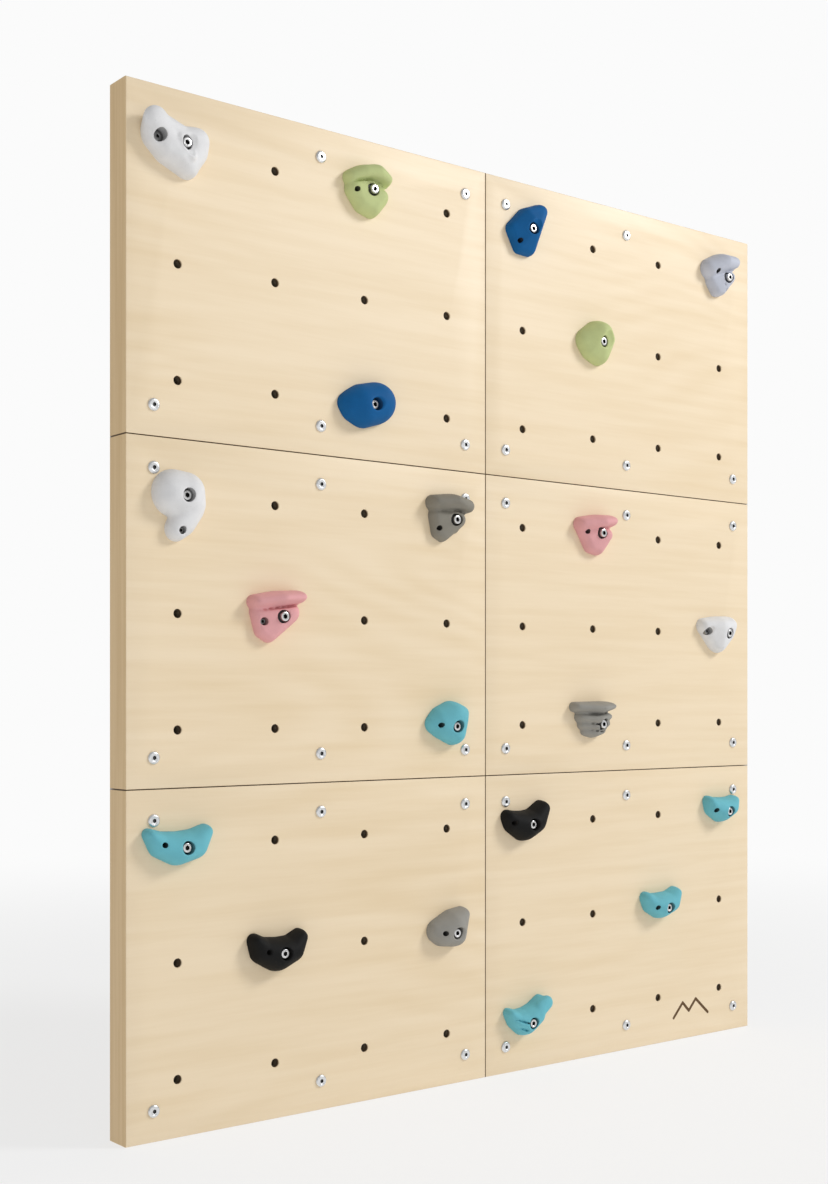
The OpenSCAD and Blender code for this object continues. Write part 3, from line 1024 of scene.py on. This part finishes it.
def drill_and_paint_shade(piece, bit, radius, painted_shade, place=(0, 0)):
    """Drills a stepped hole and paints shade on the walls of its recess."""
    carve(piece, put(bit, (place[0], 0, place[1])))
    paint_shade(piece, painted_shade, within(radius + 0.03, 0.5, 60, place))


def mould(hold):
    """Casts one hold: hulls of lobes melted together, hollowed, melted again more
    lightly, sawn flat at the back, and drilled."""
    sizes = bpy.context.scene.hold_sizes
    grain = mm(sizes.grain) * 1
    recess, seat = mm(sizes.recess), mm(sizes.seat)
    fixed = "screw" in hold.get("second", {})
    piece = join([hull([lobe(*each) for each in shell]) for shell in hold["shells"]])
    melt(piece, grain, sizes.softening)
    for tool in pressed_tools(hold, recess, seat):
        carve(piece, tool)
    melt(piece, grain, sizes.softening // 2 + 1)
    saw(piece, (0, 0 if fixed else -mm(sizes.gap), 0), (0, 1, 0))
    # Each recess gets painted shade on its walls, darkest in the empty anti-turn holes
    drill_and_paint_shade(piece, drill(mm(sizes.bore), recess, seat, 64), recess, RECESS_SHADE)
    if "second" in hold:
        second = hold["second"]
        bit = drill(mm(sizes.anti_turn), second["recess"], second["seat"])
        painted_shade = SCREWED_HOLE_SHADE if fixed else EMPTY_HOLE_SHADE
        drill_and_paint_shade(piece, bit, second["recess"], painted_shade, second["place"])
    return piece


# ---- Operators: one for each piece or group of like pieces ----

# Brightness of the white room as it shows, and as it lights the wall
BACKDROP = 0.965
ROOM_LIGHT = 0.43


class WALL_OT_stage(bpy.types.Operator):
    """Set up the camera, the studio light and the floor"""

    bl_idname = "climbing_wall.stage"
    bl_label = "Stage"

    def execute(self, context):
        self.camera(context)
        self.lights(context)
        self.surroundings(context)
        self.floor()
        return {"FINISHED"}

    @staticmethod
    def camera(context):
        data = bpy.data.cameras.new("camera")
        data.lens = 48.5
        data.shift_y = 0.089
        camera = bpy.data.objects.new("camera", data)
        camera.location = (-1.565, -1.838, 0.567)
        camera.rotation_euler = (math.radians(90), 0, math.radians(-38.5))
        context.collection.objects.link(camera)
        context.scene.camera = camera
        context.scene.view_settings.view_transform = "Standard"

    @staticmethod
    def softbox(context, name, place, aim, width, power):
        data = bpy.data.lights.new(name, "AREA")
        data.shape = "DISK"
        data.size = width
        data.energy = power
        light = bpy.data.objects.new(name, data)
        light.location = place
        light.rotation_euler = (Vector(aim) - Vector(place)).to_track_quat("-Z", "Y").to_euler()
        context.collection.objects.link(light)

    def lights(self, context):
        self.softbox(context, "key", (3.3, -3.1, 3.5), (0, 0, 0.6), 1.5, 138)
        self.softbox(context, "fill", (-1.2, -4.2, 1.2), (0, 0, 0.6), 3.0, 12)

    @staticmethod
    def surroundings(context):
        """A white room that lights the wall more softly than it shows."""
        world = bpy.data.worlds.new("white_room")
        world.use_nodes = True
        tree = world.node_tree
        glow = tree.nodes["Background"]
        glow.inputs["Color"].default_value = (1, 1, 1, 1)
        seen = tree.nodes.new("ShaderNodeLightPath").outputs["Is Camera Ray"]
        strength = tree.nodes.new("ShaderNodeMapRange")
        tree.links.new(seen, strength.inputs["Value"])
        strength.inputs["To Min"].default_value = ROOM_LIGHT
        strength.inputs["To Max"].default_value = BACKDROP
        tree.links.new(strength.outputs[0], glow.inputs["Strength"])
        context.scene.world = world

    @staticmethod
    def floor():
        bpy.ops.object.select_all(action="DESELECT")
        bpy.ops.mesh.primitive_circle_add(vertices=96, radius=14, fill_type="NGON")
        floor = bpy.context.object
        floor.name = "floor"
        floor.location = (0, 0, -0.0005)
        apply_place(floor)
        skin = Finish("pale_floor")
        away = (skin.x * skin.x + skin.y * skin.y) ** 0.5
        fade = skin.spread(away, 0.8, 3.6) * 0.28 + 0.72
        cloud = skin.noise(skin.point, 3.0, 2, 0.5, 1.0)
        skin.set(
            Base_Color=skin.mix(cloud, (0.90, 0.90, 0.90), (0.93, 0.93, 0.93)),
            Roughness=0.75,
        )
        glow = skin.node("ShaderNodeEmission", None, {"Color": (1, 1, 1), "Strength": BACKDROP})
        output = skin.tree.nodes["Material Output"]
        near = Value(skin.tree, skin.surface.outputs[0])
        blend = skin.node("ShaderNodeMixShader", None, {"Fac": fade})
        skin.tree.links.new(near.socket, blend.socket.node.inputs[1])
        skin.tree.links.new(glow.socket, blend.socket.node.inputs[2])
        skin.tree.links.new(blend.socket, output.inputs["Surface"])
        floor.data.materials.append(skin.material)


class WALL_OT_face_boards(bpy.types.Operator):
    """Saw and drill the six mitred face boards"""

    bl_idname = "climbing_wall.face_boards"
    bl_label = "Face Boards"

    MARK = ((412, 37), (434, 60), (449, 45), (466, 63), (496, 37))
    MARK_STROKE = 5
    MARK_DEPTH = 0.6

    def execute(self, context):
        sizes = context.scene.wall_sizes
        pattern = self.blank(mm(sizes.arris))
        self.drill_board(pattern, sizes)
        for panel in PANELS:
            board = copy_at(pattern, (0, 0, 0))
            for hold in HOLDS.values():
                if hold["at"][0] == panel and "screw" in hold.get("second", {}):
                    self.drill_screw_hole(board, hold)
            if panel == "bottom_right":
                self.engrave(board)
            node = f"face_board_{panel}"
            finish(board, f"birch_face_{panel}", "birch_face", [node], panel_corner(panel))
        bpy.data.objects.remove(pattern)
        return {"FINISHED"}

    @staticmethod
    def blank(arris):
        """The board with mitred sides and an arris that its edge boards carry on."""
        board = block((CLEAR, 0, CLEAR), (PANEL_W - CLEAR, BOARD_T, PANEL_H - CLEAR))
        sides = (
            ((CLEAR, 0, CLEAR), Vector((-1, 0, 0))),
            ((CLEAR, 0, CLEAR), Vector((0, 0, -1))),
            ((PANEL_W - CLEAR, 0, PANEL_H - CLEAR), Vector((1, 0, 0))),
            ((PANEL_W - CLEAR, 0, PANEL_H - CLEAR), Vector((0, 0, 1))),
        )
        for corner, outward in sides:
            saw(board, corner, outward + Vector((0, 1, 0)))
            for turn in (22.5, 45):
                ease(board, Vector(corner), outward, Vector((0, -1, 0)), arris, turn)
        return board

    @staticmethod
    def drill_board(board, sizes):
        """Drills the holes, each with its mouth lightly countersunk."""
        chamfer = 0.5
        for radius, places in (
            (mm(sizes.insert_hole), insert_places()),
            (mm(sizes.fixing_shank) + 0.2, fixing_places()),
        ):
            outline = [
                (0, -BOARD_T - 1),
                (radius, -BOARD_T - 1),
                (radius, -chamfer),
                (radius + 2 * chamfer, chamfer),
                (0, chamfer),
            ]
            carve(board, repeat(turned(outline, 40), places))

    @staticmethod
    def drill_screw_hole(board, hold):
        sizes = bpy.context.scene.hold_sizes
        x, z = hold["second"]["place"]
        insert = (hold_place(hold) - panel_corner(hold["at"][0])) / MM
        bit = prism(32, mm(sizes.anti_turn) - 0.2, -BOARD_T - 1, 1)
        carve(board, put(bit, insert + Vector((x, 0, z))))

    def stroke(self, start, end):
        """A round-ended bar between two points of the mark."""
        radius = self.MARK_STROKE / 2
        return hull([put(prism(24, radius, -self.MARK_DEPTH, 2), (x, 0, z)) for x, z in (start, end)])

    def mark_tool(self):
        """All the strokes of the mark, melted into one."""
        first, *others = [self.stroke(*link) for link in zip(self.MARK, self.MARK[1:])]
        for other in others:
            carve(first, other, "UNION")
        return first

    def engrave(self, board):
        """Engraves a plain mountain line and lays its scorched floor."""
        carve(board, self.mark_tool())
        slab = block((400, self.MARK_DEPTH / 2, 30), (510, self.MARK_DEPTH, 70))
        carve(slab, self.mark_tool(), "INTERSECT")
        finish(slab, "engraved_mark", "birch_face", [], panel_corner("bottom_right"), 30, burnt_wood())


def ease(board, corner, side, face, arris, turn):
    """One facet of a rounded arris, turned from the face towards the side."""
    angle = math.radians(turn)
    outward = side * math.sin(angle) + face * math.cos(angle)
    middle = corner - (side + face) * arris
    saw(board, middle + outward * arris, outward)


class WALL_OT_edge_boards(bpy.types.Operator):
    """Saw the four mitred edge boards of each panel"""

    bl_idname = "climbing_wall.edge_boards"
    bl_label = "Edge Boards"

    def execute(self, context):
        arris = mm(context.scene.wall_sizes.arris)
        turns = (
            (PANEL_W, (0, 0, 0), 0),
            (PANEL_W, (PANEL_W, 0, PANEL_H), 180),
            (PANEL_H, (0, 0, PANEL_H), 90),
            (PANEL_H, (PANEL_W, 0, 0), -90),
        )
        boards = [put(self.board(size, arris), place, math.radians(turn)) for size, place, turn in turns]
        fit_to_panels(join(boards), "birch_edges", "birch_edge", "edge_boards")
        return {"FINISHED"}

    @staticmethod
    def board(size, arris):
        """A board along X with its outer face down, mitred at its ends and its front."""
        board = block((CLEAR, 0, CLEAR), (size - CLEAR, DEPTH, CLEAR + BOARD_T))
        front = Vector((CLEAR, 0, CLEAR))
        far = Vector((size - CLEAR, 0, CLEAR))
        down = Vector((0, 0, -1))
        saw(board, front, (-1, 0, 1))
        saw(board, far, (1, 0, 1))
        saw(board, front, (0, -1, 1))
        for turn in (45, 67.5):
            ease(board, front, down, Vector((0, -1, 0)), arris, turn)
        return board


class WALL_OT_rails(bpy.types.Operator):
    """Plane and drill the two rails behind each face board"""

    bl_idname = "climbing_wall.rails"
    bl_label = "Rails"

    def execute(self, context):
        sizes = context.scene.wall_sizes
        inner = CLEAR + BOARD_T
        rail = mm(sizes.rail)
        bars = []
        for z in (inner, PANEL_H - inner - rail):
            bar = block((inner, BOARD_T, z), (PANEL_W - inner, DEPTH, z + rail))
            modify(bar, "BEVEL", width=1.2, segments=3, limit_method="ANGLE")
            bars.append(bar)
        pattern = join(bars)
        bit = prism(32, mm(sizes.fixing_shank) + 0.2, -DEPTH - 1, -BOARD_T + 1)
        carve(pattern, repeat(bit, fixing_places()))
        fit_to_panels(pattern, "pine_rails", "pine_rail", "rails")
        return {"FINISHED"}


class WALL_OT_inserts(bpy.types.Operator):
    """Make the hammer-in threaded inserts"""

    bl_idname = "climbing_wall.inserts"
    bl_label = "Threaded Inserts"

    def execute(self, context):
        pattern = repeat(self.insert(context.scene.wall_sizes), insert_places())
        fit_to_panels(pattern, "inserts", "insert_steel", "t_nuts")
        return {"FINISHED"}

    @staticmethod
    def insert(sizes):
        """Barrel and flange with a thread through both, and four prongs cut from the rim."""
        back = -BOARD_T
        bore = mm(sizes.insert_bore)
        barrel = mm(sizes.insert_hole) - 0.1
        flange = mm(sizes.flange)
        thick = mm(sizes.flange_t)
        top = back + mm(sizes.barrel)
        crests = thread(bore + 0.6, 0.6, 1.5, top - 0.6, back - thick + 0.6)
        outline = [(bore + 0.7, top), *crests, (bore + 0.5, back - thick)]
        outline += [(flange - 0.4, back - thick), (flange, back - thick + 0.4)]
        outline += [(flange, back - 0.3), (flange - 0.3, back), (barrel + 0.5, back)]
        outline += [(barrel, back + 0.5), (barrel, top - 0.4), (barrel - 0.4, top), (bore + 0.7, top)]
        insert = turned(outline, 32)
        prongs = []
        for quarter in range(4):
            turn = math.radians(45 + 90 * quarter)
            notch = block((flange - 3.4, BOARD_T - 1, -2), (flange + 1, BOARD_T + thick + 1, 2))
            carve(insert, put(notch, turn=turn))
            prong = block((flange - 2, BOARD_T - 8, -1.5), (flange - 0.5, BOARD_T + 1, 1.5))
            saw(prong, (flange, BOARD_T - 8, 0.2), (0, -1, 0.6))
            saw(prong, (flange, BOARD_T - 8, -0.2), (0, -1, -0.6))
            root = block((flange - 3.6, BOARD_T + 0.2, -1.5), (flange - 0.5, BOARD_T + 1.6, 1.5))
            carve(prong, root, "UNION")
            prongs.append(put(prong, turn=turn))
        return join([insert, *prongs])


class WALL_OT_fixing_bolts(bpy.types.Operator):
    """Make the bolts that fasten the panels to the wall behind"""

    bl_idname = "climbing_wall.fixing_bolts"
    bl_label = "Fixing Bolts"

    def execute(self, context):
        sizes = context.scene.wall_sizes
        bolt = self.bolt(sizes)
        places = []
        for panel in PANELS:
            corner = panel_corner(panel) / MM
            places += [corner + place for place in fixing_places()]
        finish(repeat(bolt, places), "wall_bolts", "fixing_steel", ["fixing_bolts"])
        return {"FINISHED"}

    @staticmethod
    def bolt(sizes):
        """A low domed head with a dished face round its hexagon, and a screw thread."""
        head, height = mm(sizes.fixing_head), mm(sizes.fixing_head_h)
        shank, reach = mm(sizes.fixing_shank), mm(sizes.fixing_length)
        neck, plain, point = shank - 0.4, 38, 5
        outline = [(0, height - 0.5), (4.0, height - 0.5), (4.6, height - 0.1), (5.2, height)]
        outline += [(head - 2.2, height - 0.1), (head - 1.1, height - 0.7), (head - 0.3, height - 1.6)]
        outline += [(head, height - 2.4), (head - 0.15, 0.15), (head - 0.4, 0)]
        outline += [(neck, 0), (neck, -plain), (shank, -plain)]
        outline += thread(shank, 0.7, 2.8, -plain, point - reach)
        outline += [(neck, point - reach), (0.6, 0.5 - reach), (0, -reach)]
        bolt = turned(outline, 40)
        carve(bolt, hexagon_socket(5, 2.2, height))
        # Painted shade in the hexagon socket
        paint_shade(bolt, SOCKET_SHADE, within(2.95, 0, height - 0.55))
        return bolt


class WALL_OT_hold_bolts(bpy.types.Operator):
    """Make the cap screws that hold the holds, and their washers"""

    bl_idname = "climbing_wall.hold_bolts"
    bl_label = "Hold Bolts and Washers"

    def execute(self, context):
        places = [hold_place(hold) / MM for hold in HOLDS.values()]
        sizes, seat = context.scene.wall_sizes, mm(context.scene.hold_sizes.seat)
        bolts = repeat(self.bolt(sizes, seat), places)
        finish(bolts, "cap_screws", "bolt_steel", ["hold_bolts"])
        # The washers are near-black: painted shade in the ring round each bolt head
        washers = repeat(self.washer(sizes, seat), places)
        finish(
            washers,
            "washers",
            "fixing_steel",
            ["hold_washers"],
            material=material_of("blackened_steel"),
        )
        return {"FINISHED"}

    @staticmethod
    def bolt(sizes, seat):
        """A knurled cap head with a hexagon socket, a shank and a thread."""
        head, shank = mm(sizes.bolt_head), mm(sizes.bolt)
        under = seat + mm(sizes.washer_t)
        top = under + mm(sizes.bolt_head_h)
        inner = mm(sizes.insert_bore) - 0.05
        end = -BOARD_T - mm(sizes.flange_t) - 4
        flutes = 36
        outline = [(0, top - 0.3), (3.9, top - 0.3), (4.3, top), (head - 1, top), (head - 0.5, top - 0.25)]
        outline += [(head - 0.1, top - 1.0), (head - 0.1, under + 0.5), (head - 0.5, under)]
        outline += [(shank, under), (shank, 0.4), (inner, 0)]
        outline += [(inner, -BOARD_T), *thread(inner, 0.5, 1.5, -BOARD_T - 0.5, end)]
        outline += [(inner - 0.8, end), (0, end)]
        bolt = turned(outline, 2 * flutes)
        WALL_OT_hold_bolts.knurl(bolt, head - 0.1, flutes)
        carve(bolt, hexagon_socket(6, 5, top))
        # Painted shade in the hexagon socket
        paint_shade(bolt, SOCKET_SHADE, within(3.5, under, top - 0.35))
        return bolt

    @staticmethod
    def knurl(bolt, radius, flutes):
        """Presses every second line of the head's side in, for the grip."""
        activate(bolt)
        bpy.ops.object.mode_set(mode="EDIT")
        bpy.ops.mesh.select_all(action="DESELECT")
        mesh = bmesh.from_edit_mesh(bolt.data)
        for vertex in mesh.verts:
            side = abs(math.hypot(vertex.co.x, vertex.co.z) - radius) < 0.02
            line = round(math.atan2(vertex.co.z, vertex.co.x) / math.pi * flutes)
            vertex.select = side and line % 2 == 0
        mesh.select_flush_mode()
        bmesh.update_edit_mesh(bolt.data)
        scale = (radius - 0.35) / radius
        bpy.ops.transform.resize(value=(scale, 1, scale), center_override=(0, 0, 0))
        bpy.ops.object.mode_set(mode="OBJECT")

    @staticmethod
    def washer(sizes, seat):
        inner, outer = mm(sizes.bolt) + 0.2, mm(sizes.washer)
        low, high = seat + 0.1, seat + mm(sizes.washer_t)
        outline = [(inner, low), (outer - 0.3, low), (outer, low + 0.3), (outer, high - 0.4)]
        outline += [(outer - 0.4, high), (inner + 0.2, high), (inner, high - 0.2), (inner, low)]
        return turned(outline, 48)


class WALL_OT_anti_turn_screws(bpy.types.Operator):
    """Make the small screws that keep four of the holds from turning"""

    bl_idname = "climbing_wall.anti_turn_screws"
    bl_label = "Anti-turn Screws"

    def execute(self, context):
        shank = mm(context.scene.hold_sizes.anti_turn) - 0.3
        screws = []
        for hold in HOLDS.values():
            second = hold.get("second", {})
            if "screw" in second:
                screw = self.screw(second["screw"], second["seat"], shank)
                x, z = second["place"]
                screws.append(put(screw, hold_place(hold) / MM + Vector((x, 0, z))))
        finish(
            join(screws),
            "small_screws",
            "bolt_steel",
            ["anti_turn_screws"],
            material=material_of("grey_steel"),
        )
        return {"FINISHED"}

    @staticmethod
    def screw(head, seat, shank):
        top = seat + 4
        end = -14
        outline = [(0, top - 0.3), (2.8, top - 0.3), (3.2, top), (head - 0.9, top), (head - 0.3, top - 0.3)]
        outline += [(head, top - 0.9), (head, seat + 0.3), (head - 0.3, seat), (shank, seat), (shank, 0)]
        outline += [*thread(shank, 0.35, 1.4, 0, end + 2), (shank - 0.6, end + 2), (0, end)]
        screw = turned(outline, 40)
        carve(screw, hexagon_socket(4, 2.5, top))
        # Painted shade in the hexagon socket
        paint_shade(screw, SOCKET_SHADE, within(2.35, seat, top - 0.35))
        return screw


class WALL_OT_holds(bpy.types.Operator):
    """Cast the twenty moulded holds"""

    bl_idname = "climbing_wall.holds"
    bl_label = "Holds"

    def execute(self, context):
        for name, hold in HOLDS.items():
            place = hold_place(hold)
            finish(mould(hold), f"resin_{name}", hold["slot"], [f"hold_{name}"], place, 50)
        return {"FINISHED"}


OPERATORS = (
    WALL_OT_stage,
    WALL_OT_face_boards,
    WALL_OT_edge_boards,
    WALL_OT_rails,
    WALL_OT_inserts,
    WALL_OT_fixing_bolts,
    WALL_OT_hold_bolts,
    WALL_OT_anti_turn_screws,
    WALL_OT_holds,
)


class WALL_PT_panel(bpy.types.Panel):
    """Lists the pieces of the climbing wall"""

    bl_idname = "WALL_PT_panel"
    bl_label = "Climbing Wall"
    bl_space_type = "VIEW_3D"
    bl_region_type = "UI"
    bl_category = "Climbing Wall"

    def draw(self, context):
        for operator in OPERATORS:
            self.layout.operator(operator.bl_idname)
        for group in (context.scene.wall_sizes, context.scene.hold_sizes, context.scene.wall_colours):
            box = self.layout.box()
            for name in group.bl_rna.properties.keys():
                if name not in ("rna_type", "name"):
                    box.prop(group, name)


GROUPS = (
    ("wall_sizes", ClimbingWallSizes),
    ("hold_sizes", ClimbingHoldSizes),
    ("wall_colours", ClimbingWallColours),
)


def register():
    for name, group in GROUPS:
        bpy.utils.register_class(group)
        setattr(bpy.types.Scene, name, PointerProperty(type=group))
    for item in (*OPERATORS, WALL_PT_panel):
        bpy.utils.register_class(item)


def unregister():
    for item in reversed((*OPERATORS, WALL_PT_panel)):
        bpy.utils.unregister_class(item)
    for name, group in reversed(GROUPS):
        delattr(bpy.types.Scene, name)
        bpy.utils.unregister_class(group)


def main():
    register()
    for operator in OPERATORS:
        category, name = operator.bl_idname.split(".")
        getattr(getattr(bpy.ops, category), name)()


if __name__ == "__main__":
    main()
